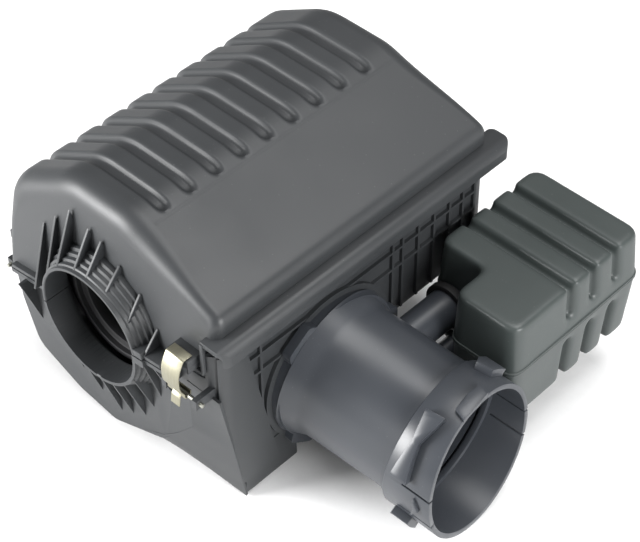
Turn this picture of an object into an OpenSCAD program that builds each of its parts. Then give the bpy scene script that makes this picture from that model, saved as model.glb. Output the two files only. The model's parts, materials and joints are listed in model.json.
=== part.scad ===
// Engine air filter housing: two clipped shells round a cylindrical element,
// with a side inlet duct and a ribbed resonator.
// Origin: centre of the engine outlet at its lip. -Y faces the engine hose,
// +X points towards the inlet duct and +Z is up.

/* [Box] */
// Left outer wall of the box
box_left = -99; // [-104:1:-96]
// Right outer wall of the lower case
box_right = 110; // [108:1:112]
// Front wall at the parting line, behind the outlet lip
front_y = 14; // [12:1:16]
// Back wall at the parting line
back_y = 282; // [278:1:290]
// Thickness of the moulded walls
wall = 2.6; // [2:0.1:3]
// Slope of the parting plane, rising to the right
tilt = 8; // [4:0.5:9]
// Gap between the cover and the case
parting_gap = 0.4; // [0.3:0.05:0.6]

/* [Cover] */
// Height of the ridge above the outlet axis
ridge_z = 97; // [92:1:102]
// Height of the right rim ledge
rim_z = 50; // [46:1:54]
// Radius of the cover's rounded edges
edge_r = 14; // [10:1:16]
// Number of roof grooves
groove_count = 9; // [5:1:9]
// Distance between roof grooves
groove_pitch = 23.4; // [20:0.2:24]
// Width of a roof groove
groove_w = 10; // [8:1:12]
// Depth of a roof groove
groove_d = 4; // [3:0.5:5]

/* [Outlet collar] */
// Inner radius of the engine outlet
outlet_r = 43.5; // [42:0.5:44.5]
// Outer radius of the outlet lip
lip_r = 46; // [45.5:0.5:47]
// Thickness of the gusset fins
fin_t = 2; // [1.6:0.1:2.4]

/* [Inlet duct] */
// Outer radius of the duct barrel
duct_r = 50; // [49:0.5:51]
// Length of the duct from the case wall to the mouth
duct_l = 126; // [120:1:132]
// Length of the mouth cuff
cuff_l = 38; // [34:1:40]
// Outer radius of the mouth
mouth_r = 56; // [55:0.5:57]
// Bore radius of the mouth
mouth_bore_r = 52; // [51:0.5:52.5]
// Turn of the duct towards the back
duct_yaw = 5; // [3:0.5:6]
// Downward slope of the duct
duct_drop = 5.5; // [4:0.5:6]
// Slant of the mouth, its foot reaching out further
mouth_slant = 9.5; // [0:0.5:10]

/* [Resonator] */
// Height of the resonator's top
res_top = 8; // [6:1:10]
// Height of the resonator's welded seam
res_seam = -33; // [-36:1:-30]
// Height of the resonator's bottom
res_bottom = -85; // [-88:1:-82]
// Distance between the resonator's grooves
res_pitch = 25; // [24:0.5:26]

/* [Filter element] */
// Outer radius of the pleats
pleat_r = 53; // [50:1:54]
// Radius of the perforated core
core_r = 35; // [33:1:37]
// Number of pleats
pleat_count = 60; // [40:4:72]
// Length of the element between its end caps
element_l = 210; // [200:2:214]

/* [Clips] */
// Width of a spring clip
clip_w = 22; // [18:1:24]
// Height of a spring clip from its pin to its cap
clip_h = 32; // [30:1:34]
// Radius of a clip pin
pin_r = 1.5; // [1.2:0.1:1.6]

/* [Hidden] */

$fn = 64;
eps = 0.05;
big = 600;
fit_gap = 0.06;

// Depths of the case under the outlet axis
deep_z = -108;
foot_z = -118;
rear_z = -62;
deep_end = 176;
drum_end = 90;
foot_y = 36;
foot_end = 85;

// How far the front wall leans back at the foot, and on the round drum
wall_lean = 22;
drum_lean = 6;

// Right rim of the cover and the wall under it
leg_x = 91;
leg_t = 5.5;
rim_x = 118.5;
rim_drop = 11;
right_top = rim_z - rim_drop - 4;
rim_end = 291;
panel_x = box_right - 3;

// Inlet duct
duct_pos = [box_right, 115.5, -41];
duct_wall = 2.6;
flange_r = 58;
flange_t = 7;
pad_r = 60;
port_r = 44;
lug_angles = [45, 130, 320];
slit_angles = [80, 106, 250, 272];

// Resonator
res_x0 = 115;
res_x1 = 217;
res_step_x = 158;
res_y0 = 213;
res_y1 = 323;
res_lobe_y = 180;
res_wall = 2.4;
res_groove_y = 243;
res_groove_w = 6;
res_groove_d = 7;
neck_x = 135;
neck_z = -40;
neck_r = 14;

// Filter element
cap_t = 10;
element_y = 28;

// Clips, each placed by its pin
front_pin = [87, 4, 2];
side_pin = [-110, 38, -32];
cap_y = 4.5;
catch_gap = 0.35;

// Rear hinge, on the parting plane behind the back wall
hinge_y = 291;
hinge_r = 3;
hinge_x = [-60, 55];
hook_w = 16;

// Mounting ears: two in line on the left and one at the back
ear_x = -115;
ear_y = [80, 240];
ear_z = -50;
rear_ear = [-20, 297, -50];
grommet_r = 9;
sleeve_r = 5.5;
bolt_r = 3.3;
ear_t = 6;

// Where the gusset fins end on the face, as [x, z]
upper_tips = [[-57, 47], [-44, 61], [-29, 76], [-11, 71], [1, 68], [18, 56], [36, 42], [52, 22]];
lower_tips = [
  [-75, -60], [-36, -84], [-18, -94], [1, -101], [14, -93], [28, -83], [39, -64], [49, -45],
  [62, -30]
];

// Outer profile of the cover, as [x, z, corner radius]
cover_outline = [
  [box_left, -40, 0], [box_left + 3, 62, 28], [-36, ridge_z, 50], [20, ridge_z, 50],
  [106.5, 68, 15], [105, -40, 0]
];
// Cross-section of the deep front of the case
deep_outline = [
  [box_left, 60, 0], [box_left + 6, -50, 30], [-84, -88, 18], [-45, -106, 30],
  [0, deep_z, 30], [box_right - 4, -100, 10], [box_right, 60, 0]
];
// Cross-section of the drum round the element's front end
drum_outline = [
  [box_left, 60, 0], [box_left + 6, -50, 30], [-84, -91, 16], [-45, -110, 40],
  [-8, foot_z + 2, 14], [45, -93, 20], [80, -50, 0], [80, 60, 0]
];
// Cross-section of the shallow back of the case
rear_outline = [
  [box_left, 60, 0], [box_left + 1, -32, 25], [-50, rear_z, 40], [50, rear_z, 30],
  [box_right - 3, -51, 8], [box_right, 60, 0]
];

// Unit vector of v
function unit(v) = v / norm(v);

// Points of the arc that rounds corner b between a and c
function corner(a, b, c, r, n) =
  let (
    p = [b[0], b[1]],
    u = unit([a[0], a[1]] - p),
    v = unit([c[0], c[1]] - p),
    half = acos(u * v) / 2,
    centre = p + unit(u + v) * r / sin(half),
    from = p + u * r / tan(half) - centre,
    to = p + v * r / tan(half) - centre,
    start = atan2(from[1], from[0]),
    turn = atan2(from[0] * to[1] - from[1] * to[0], from * to)
  )
  [for (i = [0:n]) centre + r * [cos(start + turn * i / n), sin(start + turn * i / n)]];

// Polygon points with the corners of an [x, y, radius] outline rounded in n steps
function rounded(o, n = 6) = [
  for (i = [0:len(o) - 1])
    each o[i][2] == 0
      ? [[o[i][0], o[i][1]]]
      : corner(o[(i + len(o) - 1) % len(o)], o[i], o[(i + 1) % len(o)], o[i][2], n)
];

// Height of the parting plane at x
function part_z(x) = x * tan(tilt);

// Extrudes an XZ shape from y0 to y1
module along_y(y0, y1) {
  translate([0, y1, 0])
    rotate([90, 0, 0])
      linear_extrude(y1 - y0)
        children();
}

// Extrudes a YZ shape from x0 to x1
module along_x(x0, x1) {
  translate([x0, 0, 0])
    rotate([90, 0, 90])
      linear_extrude(x1 - x0)
        children();
}

// Cylinder along Y
module rod_y(r, y0, y1) {
  translate([0, y0, 0])
    rotate([-90, 0, 0])
      cylinder(r = r, h = y1 - y0);
}

// Cylinder along X
module rod_x(r, x0, x1) {
  translate([x0, 0, 0])
    rotate([0, 90, 0])
      cylinder(r = r, h = x1 - x0);
}

// Box between two corners
module block(a, b) {
  translate(a)
    cube(b - a);
}

// Half-space over the parting plane, lifted by h
module over_parting(h) {
  rotate([0, -tilt, 0])
    translate([-big / 2, -big / 2, h])
      cube(big);
}

// Half-space under the parting plane, lifted by h
module under_parting(h) {
  rotate([0, -tilt, 0])
    translate([-big / 2, -big / 2, h - big])
      cube(big);
}

// Plan outline of the box, drawn in by t
module plan(t, right) {
  polygon(rounded([
    [box_left + t, front_y + t, 8], [right - t, front_y + t, 13],
    [right - t, back_y - t, 16], [box_left + t, back_y - t, 20]
  ], 4));
}

// Space behind the front wall, which leans back below the parting line
module behind_front(t, lean) {
  along_x(-big / 2, big / 2)
    polygon([
      [front_y + t, big], [front_y + t, 0], [front_y + t + lean, foot_z],
      [front_y + t + lean, -big], [big, -big], [big, big]
    ]);
}

// ---- Cover ----

// Solid of the cover's dome, drawn in by t
module dome(t) {
  radius = edge_r - t;
  steps = 2;
  hull() {
    for (i = [0:steps]) {
      a = 90 * i / steps;
      end_in = t + radius * (1 - sin(a));
      side_in = t + radius * (1 - cos(a));
      for (y = [front_y + 6 + end_in, back_y - 6 - end_in])
        along_y(y - eps, y + eps)
          offset(delta = -side_in)
            polygon(rounded(cover_outline, 3));
    }
    translate([0, 0, -30])
      linear_extrude(eps)
        plan(t, 105);
  }
}

// Round-ended bars that mark the roof grooves
module groove_bars(w) {
  first = (front_y + back_y) / 2 + 2 - groove_pitch * (groove_count - 1) / 2 - 6;
  tip = 25 + w / 2;
  for (i = [0:groove_count - 1])
    translate([0, first + i * groove_pitch, 40])
      linear_extrude(80)
        polygon(rounded([
          [-130, -w / 2, 0], [tip, -w / 2, w / 2 - eps],
          [tip, w / 2, w / 2 - eps], [-130, w / 2, 0]
        ], 3));
}

// Solid of the dome with its grooves sunk in, drawn in by t
module grooved_dome(t) {
  difference() {
    dome(t);
    difference() {
      groove_bars(groove_w + 2 * t);
      dome(t + groove_d);
    }
  }
}

// Section of the channel along the right rim
module rim_section() {
  polygon([
    [leg_x, rim_z], [rim_x - 4, rim_z], [rim_x - 1, rim_z - 1], [rim_x, rim_z - 4],
    [rim_x, rim_z - rim_drop - 3], [rim_x - 3.5, rim_z - rim_drop - 3],
    [rim_x - 3.5, rim_z - rim_drop], [leg_x, rim_z - rim_drop]
  ]);
}

// Plan that rounds the ends of the right rim
module rim_plan() {
  polygon(rounded([
    [leg_x - 1, front_y - 2, 0], [rim_x, front_y - 2, 11],
    [rim_x, rim_end, 8], [leg_x + 7, rim_end, 4], [leg_x + 7, back_y - 20, 0],
    [leg_x - 1, back_y - 20, 0]
  ]));
}

// Right rim: a ledge over the case wall and a leg inside it
module rim() {
  difference() {
    intersection() {
      along_y(front_y - 2, rim_end)
        rim_section();
      linear_extrude(100)
        rim_plan();
    }
    block([box_right - 4, front_y + 16, 0], [rim_x - 3.5, back_y - 6, rim_z - 3.5]);
  }
  block([leg_x, front_y + wall + 1.8, 3], [leg_x + leg_t, back_y - 8, rim_z - rim_drop + 1]);
}

// Gusset fins between the outlet collar and the face, ending at their tips
module fins(tips, side) {
  for (tip = tips) {
    x = tip[0];
    root = abs(x) < lip_r - 1 ? side * sqrt(pow(lip_r - 1, 2) - x * x) : part_z(x) + 3 * side;
    along_x(x - fin_t / 2, x + fin_t / 2)
      polygon([
        [2, root], [front_y + 0.06 * abs(tip[1]), tip[1]],
        [front_y + 8, 0.2 * root + 0.8 * tip[1]], [front_y + 8, root]
      ]);
  }
}

// Outlet collar with the wings beside it along the parting line
module collar() {
  rod_y(lip_r, 0, front_y + 3);
  rotate([0, -tilt, 0]) {
    block([-92, 9, -3.5], [-lip_r + 3, front_y + 2, 3.5]);
    block([lip_r - 3, 2, -3.5], [70, front_y + 2, 3.5]);
    block([lip_r - 2, 0, -6], [lip_r + 8, front_y + 2, 6]);
  }
}

// Ledge on a shell that a clip's cap holds down, in the clip's own frame
module clip_catch() {
  block([-clip_w / 2 - 2, 0, clip_h - 8], [clip_w / 2 + 2, 10, clip_h - catch_gap]);
  block([-clip_w / 2 - 2, 0, clip_h - 8], [clip_w / 2 - 3, 20, clip_h - catch_gap]);
  for (x = [-clip_w / 2 - 2, clip_w / 2])
    block([x, 0, clip_h - 12], [x + 2, 10, clip_h - 7]);
}

// Hook that snaps over a hinge bar
module hinge_hook() {
  difference() {
    union() {
      rod_x(hinge_r + 3.4, -hook_w / 2, hook_w / 2);
      block([-hook_w / 2, -14, 0.8], [hook_w / 2, 0, 6.4]);
    }
    rod_x(hinge_r + fit_gap, -hook_w, hook_w);
    rotate([-35, 0, 0])
      block([-hook_w, -2.6, -10], [hook_w, 2.6, 0]);
  }
}

module upper_cover() {
  color("#3b3d3f")
    difference() {
      union() {
        intersection() {
          union() {
            difference() {
              grooved_dome(0);
              block([leg_x + 1, -50, -60], [200, 400, rim_z - rim_drop]);
            }
            fins(upper_tips, 1);
            collar();
          }
          over_parting(parting_gap / 2);
        }
        rim();
        translate(front_pin)
          clip_catch();
        translate(side_pin)
          rotate([0, 0, -90])
            clip_catch();
        rotate([0, -tilt, 0])
          for (x = hinge_x)
            translate([x, hinge_y, 0])
              hinge_hook();
      }
      difference() {
        grooved_dome(wall);
        block([leg_x, -50, -60], [200, 400, rim_z - rim_drop + wall]);
      }
      rod_y(outlet_r, -1, front_y + 12);
      translate([-13, -1, outlet_r - 2])
        block([-2, 0, 0], [2, 6, 8]);
    }
}

// ---- Lower case ----

// Solid of the case, drawn in by t
module case_solid(t) {
  right = t == 0 ? panel_x : panel_x - wall;
  intersection() {
    union() {
      intersection() {
        union() {
          along_y(front_y - 1, deep_end - t)
            offset_outline(deep_outline, t);
          along_y(front_y - 1, back_y + 1)
            offset_outline(rear_outline, t);
        }
        behind_front(t, wall_lean);
      }
      intersection() {
        along_y(front_y - 1, drum_end - t)
          offset_outline(drum_outline, t);
        behind_front(t, drum_lean);
      }
    }
    translate([0, 0, -150])
      linear_extrude(300)
        plan(t, right + t);
  }
}

// Outline with its corners pulled in by t towards the box's middle
module offset_outline(o, t) {
  polygon(rounded([
    for (p = o)
      [p[0] < 0 ? p[0] + t : p[0] - t, p[1] < 0 ? p[1] + t : p[1], max(p[2] - t, 0)]
  ]));
}

// Block under the front right corner on which the housing stands
module foot(t) {
  along_y(foot_y + t, foot_end - t)
    polygon(rounded([
      [14 + t, -80, 0], [26 + t, foot_z + t, 10], [box_right - 2 - t, foot_z + t, 6],
      [panel_x - t, -80, 0]
    ]));
}

// Smooth front strip, duct pad and ribs that stand out of the right wall
module right_relief() {
  intersection() {
    along_x(panel_x - 1, box_right)
      polygon([[front_y, right_top], [39, right_top], [66, -98], [front_y, -98]]);
    behind_front(0, wall_lean);
    translate([0, 0, -150])
      linear_extrude(300)
        plan(0, box_right);
  }
  translate([0, duct_pos[1], duct_pos[2]])
    rod_x(pad_r, panel_x - 1, box_right);
  for (y = [188, 204, 220, 236, 250, 262])
    block([panel_x - 1, y, -44], [box_right - 0.5, y + 2, right_top - 2]);
  for (z = [-2, 14])
    block([panel_x - 1, 42, z], [box_right - 0.5, 262, z + 2]);
  for (y = [52, 178])
    block([panel_x - 1, y, -44], [box_right - 0.5, y + 2, right_top - 2]);
}

// Ears that carry the mounting grommets
module ears() {
  for (y = ear_y)
    difference() {
      hull() {
        translate([ear_x, y, ear_z])
          cylinder(r = grommet_r + 4, h = ear_t, $fn = 32);
        block([box_left - 2, y - 18, ear_z], [box_left + 35, y + 18, ear_z + ear_t]);
      }
      translate([ear_x, y, ear_z - 1])
        cylinder(r = grommet_r - 2, h = ear_t + 2);
    }
  difference() {
    hull() {
      translate(rear_ear)
        cylinder(r = grommet_r + 4, h = ear_t, $fn = 32);
      block([rear_ear[0] - 18, back_y - 2, ear_z], [rear_ear[0] + 18, back_y - 1, ear_z + ear_t]);
    }
    translate(rear_ear - [0, 0, 1])
      cylinder(r = grommet_r - 2, h = ear_t + 2);
  }
}

// Bracket that holds a clip's pin, in the clip's own frame
module clip_bracket(depth) {
  for (x = [-clip_w / 2 - 5, clip_w / 2 + 1])
    difference() {
      block([x, -3.5, -4], [x + 4, depth, 4]);
      rod_x(pin_r + fit_gap, x - 1, x + 5);
    }
}

// Ears that hold a hinge bar behind the back wall
module hinge_ears() {
  for (x = [-hook_w / 2 - 5, hook_w / 2 + 1])
    difference() {
      union() {
        rod_x(hinge_r + 3, x, x + 4);
        block([x, -8.4, -6], [x + 4, 0, 3]);
        block([x, -11, -6], [x + 4, 0, -0.6]);
      }
      rod_x(hinge_r, x - 1, x + 5);
    }
}

module lower_case() {
  color("#343638")
    difference() {
      union() {
        difference() {
          union() {
            case_solid(0);
            foot(0);
            intersection() {
              union() {
                fins(lower_tips, -1);
                collar();
              }
              under_parting(-parting_gap / 2);
            }
            right_relief();
            ears();
          }
          difference() {
            over_parting(-parting_gap / 2);
            block([leg_x + leg_t + 1, 0, -20], [200, 400, right_top]);
          }
          block([leg_x - 2, 0, right_top], [200, 400, 200]);
        }
        translate(front_pin)
          clip_bracket(20);
        translate(side_pin)
          rotate([0, 0, -90])
            clip_bracket(20);
        rotate([0, -tilt, 0])
          for (x = hinge_x)
            translate([x, hinge_y, 0])
              hinge_ears();
      }
      case_solid(wall);
      foot(wall);
      rod_y(outlet_r, -1, front_y + 12);
      translate([5, -1, -outlet_r])
        block([-2, 0, -6], [2, 6, 2]);
      translate([0, duct_pos[1], duct_pos[2]])
        rod_x(port_r, panel_x - 8, box_right + 1);
      rotate([0, -tilt, 0])
        gasket_path(4, 4, -parting_gap / 2 - 1.6);
    }
}

// ---- Gasket ----

// Closed strip round the left, back and front of the parting plane
module gasket_path(w, h, z) {
  inner = wall / 2 + w / 2 - 2;
  difference() {
    translate([0, 0, z])
      linear_extrude(h)
        difference() {
          plan(0.7, leg_x);
          plan(1.9, leg_x + 1.2);
        }
    block([-lip_r - 3, -10, z - 1], [lip_r + 12, 60, z + h + 1]);
    block([leg_x - 14 + inner, -10, z - 1], [200, 400, z + h + 1]);
  }
}

module cover_gasket() {
  color("#1c1c1e") {
    rotate([0, -tilt, 0])
      gasket_path(4, 1.55, -parting_gap / 2 - 1.6);
    block([panel_x - wall, front_y + 22, right_top], [panel_x, back_y - 26, right_top + 1.5]);
  }
}

// ---- Inlet duct ----

// Moves children into the duct's own frame, X along the duct
module in_duct() {
  translate(duct_pos)
    rotate([0, duct_drop, duct_yaw])
      children();
}

// Flared, lobed ring at the foot of the duct
module duct_flange() {
  translate([0, duct_pos[1], duct_pos[2]]) {
    rod_x(flange_r - 3, box_right, box_right + flange_t);
    for (a = [35, 145, 270])
      rotate([a, 0, 0])
        translate([box_right, 0, 0])
          rotate([90, 0, 90])
            linear_extrude(flange_t)
              polygon(rounded([
                [-20, 40, 0], [-12, flange_r + 3, 5], [12, flange_r + 3, 5], [20, 40, 0]
              ]));
  }
}

module inlet_duct() {
  color("#2f3133")
    difference() {
      union() {
        in_duct() {
          rod_x(duct_r, 0, duct_l - cuff_l + 6);
          rotate([0, 90, 0])
            cylinder(r1 = 56, r2 = duct_r, h = 16);
          rod_x(duct_r + 1.5, duct_l - cuff_l - 4, duct_l - cuff_l - 1);
        }
        duct_flange();
        translate([150, 0, -60])
          rod_y(7, duct_pos[1] + 30, 199);
      }
      in_duct()
        rod_x(duct_r - duct_wall, -20, duct_l);
      block([0, -50, -200], [box_right, 400, 200]);
      translate([0, duct_pos[1], duct_pos[2]])
        difference() {
          rod_x(54, box_right - 1, box_right + 2);
          rod_x(50.5, box_right - 2, box_right + 3);
        }
      translate([neck_x, 0, neck_z])
        rod_y(neck_r - 2.5, duct_pos[1], 200);
      translate([150, 0, -60])
        rod_y(2.5, 180, 201);
    }
}

module duct_seal_ring() {
  color("#191a1b")
    translate([0, duct_pos[1], duct_pos[2]])
      difference() {
        rod_x(53.9, box_right, box_right + 1.95);
        rod_x(50.6, box_right - 1, box_right + 3);
      }
}

// Wedge lug that stands on the cuff and reaches over the barrel
module cuff_lug(a) {
  rotate([a, 0, 0])
    translate([0, 0, duct_r + 1.6])
      linear_extrude(6)
        polygon([
          [duct_l - cuff_l - 6, -9], [duct_l - 20, -4], [duct_l - 5, -9],
          [duct_l - 5, 9], [duct_l - 20, 4], [duct_l - cuff_l - 6, 9]
        ]);
}

module inlet_cuff() {
  color("#333537")
    in_duct()
      difference() {
        union() {
          rotate([0, 90, 0])
            translate([0, 0, duct_l - cuff_l])
              cylinder(r1 = mouth_r - 1.5, r2 = mouth_r, h = cuff_l + 10);
          for (a = lug_angles)
            cuff_lug(a);
        }
        rod_x(mouth_bore_r, duct_l - cuff_l + 12, duct_l + 11);
        rod_x(duct_r + 0.05, 0, duct_l - cuff_l + 8);
        rod_x(duct_r - 3, 0, duct_l);
        translate([duct_l, 0, 0])
          rotate([0, -mouth_slant, 0])
            block([0, -100, -100], [60, 100, 100]);
        for (a = slit_angles)
          rotate([a, 0, 0])
            block([duct_l - cuff_l + 14, -1.2, 30], [duct_l + 11, 1.2, 80]);
      }
}

// ---- Resonator ----

// Plan of the resonator, drawn in by t
module res_plan(t) {
  polygon(rounded([
    [res_x0 + t, res_y0 + t, 8], [res_step_x + t, res_y0 + t, 5], [res_step_x + t, res_lobe_y + t, 9],
    [res_x1 - t, res_lobe_y + t, 9], [res_x1 - t, res_y1 - t, 10], [res_x0 + t, res_y1 - t, 10]
  ]));
}

// Slots between the lobes, widened by t
module res_slots(t) {
  for (i = [0:2]) {
    y0 = res_groove_y + i * res_pitch - res_groove_w / 2 - t;
    y1 = y0 + res_groove_w + 2 * t;
    block([res_x0 - 5, y0, res_top - res_groove_d - t], [res_x1 + 5, y1, res_top + 5]);
    block([res_x1 - res_groove_d - t, y0, res_seam + 8], [res_x1 + 5, y1, res_top + 5]);
    block([res_x0 - 5, y0, res_bottom - 5], [res_x1 + 5, y1, res_bottom + res_groove_d + t]);
    block([res_x1 - res_groove_d - t, y0, res_bottom - 5], [res_x1 + 5, y1, res_seam - 12]);
  }
}

// Closed body of the resonator, drawn in by t
module res_body(t) {
  difference() {
    translate([0, 0, res_bottom + t])
      linear_extrude(res_top - res_bottom - 2 * t)
        res_plan(t);
    res_slots(t);
  }
}

// Shell of the resonator with a welding bead at its seam
module res_shell() {
  difference() {
    union() {
      res_body(0);
      translate([0, 0, res_seam - 1.5])
        linear_extrude(3)
          res_plan(-1.2);
    }
    res_body(res_wall);
    translate([neck_x, 0, neck_z])
      rod_y(neck_r + 0.3, res_y0 - 5, res_y0 + 8);
  }
}

module resonator_upper() {
  color("#3f4443")
    intersection() {
      res_shell();
      block([0, 0, res_seam], [400, 500, 200]);
    }
}

module resonator_lower() {
  color("#3f4443") {
    intersection() {
      res_shell();
      block([0, 0, -200], [400, 500, res_seam]);
    }
    difference() {
      block([142, 199, -68], [res_step_x + 1, 202.5, -52]);
      translate([150, 0, -60])
        rod_y(2.8, 198, 204);
    }
  }
}

module resonator_neck() {
  color("#2a2c2e")
    difference() {
      translate([neck_x, 0, neck_z])
        rod_y(neck_r, duct_pos[1], res_y0 + res_wall + 3);
      translate([neck_x, 0, neck_z])
        rod_y(neck_r - 2.5, duct_pos[1] - 1, res_y0 + res_wall + 4);
      in_duct()
        rod_x(duct_r + eps, -10, duct_l);
    }
}

module neck_grommet() {
  color("#1b1c1d")
    translate([neck_x, 0, neck_z])
      difference() {
        rod_y(neck_r + 4, res_y0 - 7, res_y0 - 1.3);
        rod_y(neck_r + eps, res_y0 - 8, res_y0);
      }
}

module resonator_bolt() {
  color("#b9bab4")
    translate([150, 202.5, -60])
      rotate([90, 0, 0]) {
        translate([0, 0, -4])
          cylinder(r = 5, h = 4, $fn = 6);
        cylinder(r = 2.45, h = 20);
      }
}

// ---- Filter element ----

module filter_pleats() {
  color("#d9cfa6")
    along_y(element_y + cap_t, element_y + cap_t + element_l)
      difference() {
        polygon([
          for (i = [0:2 * pleat_count - 1])
            let (a = 180 * i / pleat_count, r = i % 2 == 0 ? pleat_r - 0.4 : core_r + 6)
            r * [cos(a), sin(a)]
        ]);
        polygon([
          for (i = [0:2 * pleat_count - 1])
            let (a = 180 * i / pleat_count, r = i % 2 == 0 ? pleat_r - 6 : core_r + 1)
            r * [cos(a), sin(a)]
        ]);
      }
}

module filter_core() {
  color("#a9aba8")
    difference() {
      rod_y(core_r, element_y + cap_t, element_y + cap_t + element_l);
      rod_y(core_r - 1, element_y + cap_t - 1, element_y + cap_t + element_l + 1);
      for (y = [element_y + cap_t + 16:30:element_y + cap_t + element_l - 10])
        for (a = [0:60:120])
          translate([0, y, 0])
            rotate([0, a, 0])
              rod_x(5, -core_r - 5, core_r + 5);
    }
}

module filter_front_cap() {
  color("#23252a")
    difference() {
      union() {
        rod_y(pleat_r + 2, element_y, element_y + cap_t);
        rod_y(outlet_r - 1, element_y - 5, element_y + 1);
      }
      rod_y(core_r - 3, element_y - 6, element_y + cap_t + 1);
      rod_y(core_r + 3, element_y - 6, element_y - 1);
    }
}

module filter_rear_cap() {
  color("#23252a")
    difference() {
      union() {
        translate([0, element_y + cap_t + element_l, 0])
          rod_y(pleat_r + 2, 0, cap_t);
        translate([0, element_y + 2 * cap_t + element_l, 0])
          rod_y(16, 0, 5);
      }
      translate([0, element_y + 2 * cap_t + element_l, 0])
        rod_y(10, -6, 6);
    }
}

module pleat_bands() {
  color("#c9c6b8")
    for (s = [0.3, 0.7])
      translate([0, element_y + cap_t + s * element_l, 0])
        difference() {
          rod_y(pleat_r + 1, -3, 3);
          rod_y(pleat_r, -4, 4);
        }
}

// ---- Clips, pins and mounting hardware ----

// Spring clip, with its pin on the X axis
module spring_clip() {
  bow_r = 20;
  bow_y = 12;
  bow_z = clip_h / 2;
  end_y = bow_y - sqrt(bow_r * bow_r - bow_z * bow_z);
  along_x(-clip_w / 2, clip_w / 2) {
    intersection() {
      difference() {
        translate([bow_y, bow_z])
          circle(r = bow_r + 1);
        translate([bow_y, bow_z])
          circle(r = bow_r);
      }
      translate([bow_y - bow_r - 2, 1.2])
        square([bow_r + 1, clip_h - 0.2]);
    }
    translate([end_y - 0.8, clip_h])
      square([cap_y + 2.6 - end_y, 1]);
    difference() {
      circle(r = pin_r + 1.2);
      circle(r = pin_r + fit_gap);
    }
  }
  along_x(-6, 6)
    polygon([[-2.3, -0.8], [-1.3, -1.6], [-4.4, -10], [-5.4, -9.6]]);
}

module front_clip() {
  color("#dcdccd")
    translate(front_pin)
      spring_clip();
}

module side_clip() {
  color("#3b3d3f")
    translate(side_pin)
      rotate([0, 0, -90])
        spring_clip();
}

// Pin of a clip, held in the case's bracket
module clip_pin() {
  rod_x(pin_r, -clip_w / 2 - 5.5, clip_w / 2 + 8);
}

module front_clip_pin() {
  color("#b4b4ac")
    translate(front_pin)
      clip_pin();
}

module side_clip_pin() {
  color("#b4b4ac")
    translate(side_pin)
      rotate([0, 0, -90])
        clip_pin();
}

module hinge_bars() {
  color("#2c2e30")
    rotate([0, -tilt, 0])
      for (x = hinge_x)
        translate([x, hinge_y, 0])
          rod_x(hinge_r, -hook_w / 2 - 5, hook_w / 2 + 5);
}

// Places children at each mounting ear
module at_ears() {
  for (y = ear_y)
    translate([ear_x, y, ear_z])
      children();
  translate(rear_ear)
    children();
}

module mount_grommets() {
  color("#171718")
    at_ears()
      difference() {
        union() {
          translate([0, 0, -3])
            cylinder(r = grommet_r + 1, h = 3);
          cylinder(r = grommet_r - 2 - eps, h = ear_t);
          translate([0, 0, ear_t])
            cylinder(r = grommet_r + 1, h = 3);
        }
        translate([0, 0, -4])
          cylinder(r = sleeve_r + eps, h = ear_t + 8);
      }
}

module mount_sleeves() {
  color("#b2b3ae")
    at_ears()
      difference() {
        translate([0, 0, -3.5])
          cylinder(r = sleeve_r, h = ear_t + 7);
        translate([0, 0, -5])
          cylinder(r = bolt_r, h = ear_t + 10);
      }
}

lower_case();
upper_cover();
cover_gasket();
inlet_duct();
duct_seal_ring();
inlet_cuff();
resonator_neck();
neck_grommet();
resonator_upper();
resonator_lower();
resonator_bolt();
filter_pleats();
filter_core();
filter_front_cap();
filter_rear_cap();
pleat_bands();
front_clip();
front_clip_pin();
side_clip();
side_clip_pin();
hinge_bars();
mount_grommets();
mount_sleeves();
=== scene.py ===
"""Visual model of an engine air filter housing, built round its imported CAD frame."""

import json
import math

import bpy
from bpy.props import FloatProperty, IntProperty, PointerProperty, StringProperty
from mathutils import Matrix, Vector


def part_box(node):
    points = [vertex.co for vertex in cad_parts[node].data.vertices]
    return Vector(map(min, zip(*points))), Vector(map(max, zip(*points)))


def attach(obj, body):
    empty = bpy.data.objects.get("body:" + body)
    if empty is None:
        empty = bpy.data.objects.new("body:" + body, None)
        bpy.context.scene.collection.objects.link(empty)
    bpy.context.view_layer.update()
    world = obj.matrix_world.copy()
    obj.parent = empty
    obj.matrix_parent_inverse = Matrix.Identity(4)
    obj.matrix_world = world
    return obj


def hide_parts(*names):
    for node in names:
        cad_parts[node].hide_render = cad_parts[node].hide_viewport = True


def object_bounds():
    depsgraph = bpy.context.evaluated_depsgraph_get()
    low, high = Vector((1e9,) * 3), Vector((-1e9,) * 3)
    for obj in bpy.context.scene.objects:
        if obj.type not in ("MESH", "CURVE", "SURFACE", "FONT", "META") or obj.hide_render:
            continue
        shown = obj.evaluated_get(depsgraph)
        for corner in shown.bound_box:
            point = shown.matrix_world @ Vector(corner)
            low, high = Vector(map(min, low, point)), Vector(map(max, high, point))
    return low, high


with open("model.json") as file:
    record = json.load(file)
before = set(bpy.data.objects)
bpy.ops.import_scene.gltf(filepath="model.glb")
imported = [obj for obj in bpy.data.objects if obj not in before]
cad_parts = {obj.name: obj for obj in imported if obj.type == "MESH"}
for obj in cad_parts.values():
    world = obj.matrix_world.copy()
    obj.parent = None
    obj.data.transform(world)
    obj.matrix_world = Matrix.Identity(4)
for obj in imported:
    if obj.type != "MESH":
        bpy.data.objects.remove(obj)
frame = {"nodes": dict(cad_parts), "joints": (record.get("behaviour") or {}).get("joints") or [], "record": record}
cad_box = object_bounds()

bl_info = {
    "name": "Air filter housing",
    "version": (1, 0, 0),
    "blender": (4, 5, 0),
    "location": "View3D > Sidebar > Housing",
    "description": "Builds the shells, duct, resonator and element of an engine air filter housing",
    "category": "Mesh",
}

MM = 0.001


def frame_joint(name):
    """One of the record's joints."""
    return next(joint for joint in frame["joints"] if joint["name"] == name)


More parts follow.
